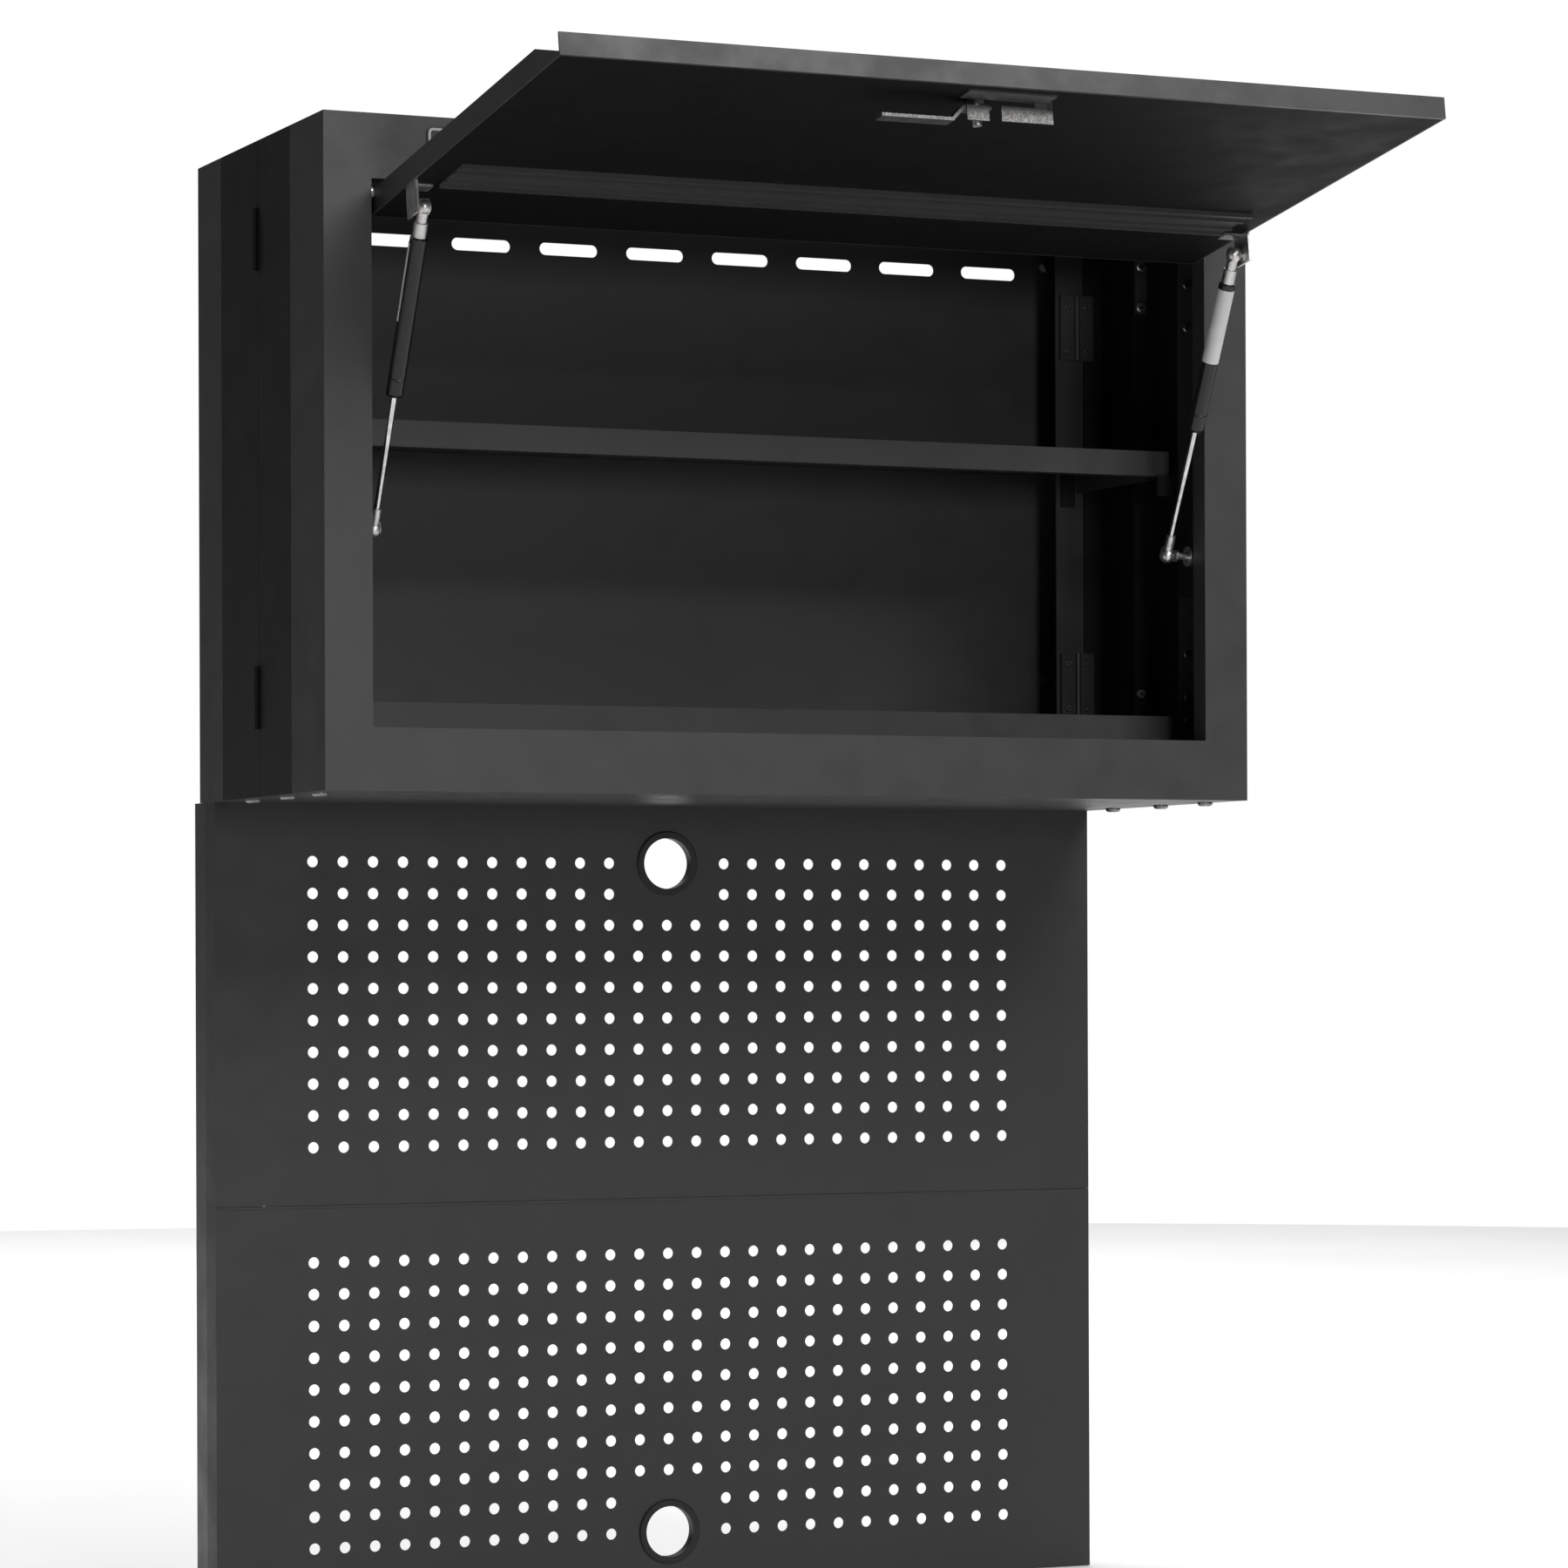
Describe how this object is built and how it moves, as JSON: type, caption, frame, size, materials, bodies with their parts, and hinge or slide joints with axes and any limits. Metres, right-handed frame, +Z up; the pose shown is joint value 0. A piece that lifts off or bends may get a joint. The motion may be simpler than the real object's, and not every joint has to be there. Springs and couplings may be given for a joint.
{
  "type": "overhead tool cabinet",
  "caption": "Folding steel overhead cabinet with a lift-up door on gas struts, a shelf and a turn latch, above two perforated peg panels on rear uprights.",
  "frame": {"origin": "centre of the foot bolt pattern, in the plane the feet stand on", "axes": "+X to the right as seen from the front, +Y to the back, +Z up"},
  "size_m": [0.7716, 0.7133, 1.1313],
  "materials": {
    "black_steel": "satin black powder coat",
    "panel_steel": "satin black powder coat",
    "black_plastic": "moulded black",
    "zinc": "bright zinc plate",
    "chrome_rod": "polished",
    "strut_paint": "gloss black",
    "blank_label": "printed film, blank",
    "badge": "black with a white border"
  },
  "bodies": {
    "root": {"back_bolts": "zinc", "badge": "badge", "bottom_panel": "black_steel", "bottom_rail": "black_steel", "flange_screws": "zinc", "hinge_screws": "zinc", "left_foot": "black_steel", "left_front_side": "black_steel", "left_hanger_post": "black_steel", "left_rear_side": "black_steel", "left_stile": "black_steel", "left_upright": "black_steel", "lock_plates": "black_steel", "lock_screws": "zinc", "lower_grommet": "black_plastic", "lower_panel": "panel_steel", "lower_studs": "zinc", "mid_hinges": "black_steel", "rear_hinges": "black_steel", "rear_tray": "black_steel", "right_foot": "black_steel", "right_front_side": "black_steel", "right_hanger_post": "black_steel", "right_rear_side": "black_steel", "right_stile": "black_steel", "right_upright": "black_steel", "shelf": "black_steel", "shelf_clips": "black_steel", "strut_brackets": "black_steel", "top_panel": "black_steel", "top_rail": "black_steel", "underside_bolts": "zinc", "upper_grommet": "black_plastic", "upper_panel": "panel_steel"},
    "door": {"door_skin": "black_steel", "door_liner": "black_steel", "door_stiffener": "black_steel", "pivot_pins": "zinc", "upper_brackets": "zinc", "lock_barrel": "zinc", "lock_nut": "zinc", "latch_bracket": "zinc"},
    "latch": {"latch_lever": "zinc", "latch_spindle": "zinc"},
    "left_strut": {"left_upper_socket": "zinc", "left_cylinder": "strut_paint", "left_label": "blank_label"},
    "left_piston": {"left_rod": "chrome_rod", "left_lower_socket": "zinc"},
    "right_strut": {"right_upper_socket": "zinc", "right_cylinder": "strut_paint", "right_label": "blank_label"},
    "right_piston": {"right_rod": "chrome_rod", "right_lower_socket": "zinc"}
  },
  "joints": [
    {"name": "door_hinge", "type": "hinge", "parent": "root", "child": "door", "pos_m": [0, -0.298, 1.07375], "axis": [1, 0, 0], "range_deg": [0, 98.2]},
    {"name": "latch_turn", "type": "hinge", "parent": "door", "child": "latch", "pos_m": [-0.0175, -0.65251, 1.10261], "axis": [0, 0.1426, 0.9898], "range_deg": [0, 90]},
    {"name": "left_strut_turn", "type": "hinge", "parent": "door", "child": "left_strut", "pos_m": [-0.3312, -0.38185, 1.05279], "axis": [1, 0, 0], "range_deg": [-126.24, 0]},
    {"name": "left_strut_stroke", "type": "slide", "parent": "left_strut", "child": "left_piston", "axis": [0, -0.4531, 0.8914], "range_m": [0, 0.0869]},
    {"name": "right_strut_turn", "type": "hinge", "parent": "door", "child": "right_strut", "pos_m": [0.3312, -0.38185, 1.05279], "axis": [1, 0, 0], "range_deg": [-126.24, 0]},
    {"name": "right_strut_stroke", "type": "slide", "parent": "right_strut", "child": "right_piston", "axis": [0, -0.4531, 0.8914], "range_m": [0, 0.0869]}
  ],
  "couplings": [
    {"joint": "left_strut_turn", "follows": "door_hinge", "ratio": -1.2825},
    {"joint": "left_strut_stroke", "follows": "door_hinge", "m_per_rad": 0.050411},
    {"joint": "right_strut_turn", "follows": "door_hinge", "ratio": -1.2825},
    {"joint": "right_strut_stroke", "follows": "door_hinge", "m_per_rad": 0.050411}
  ]
}
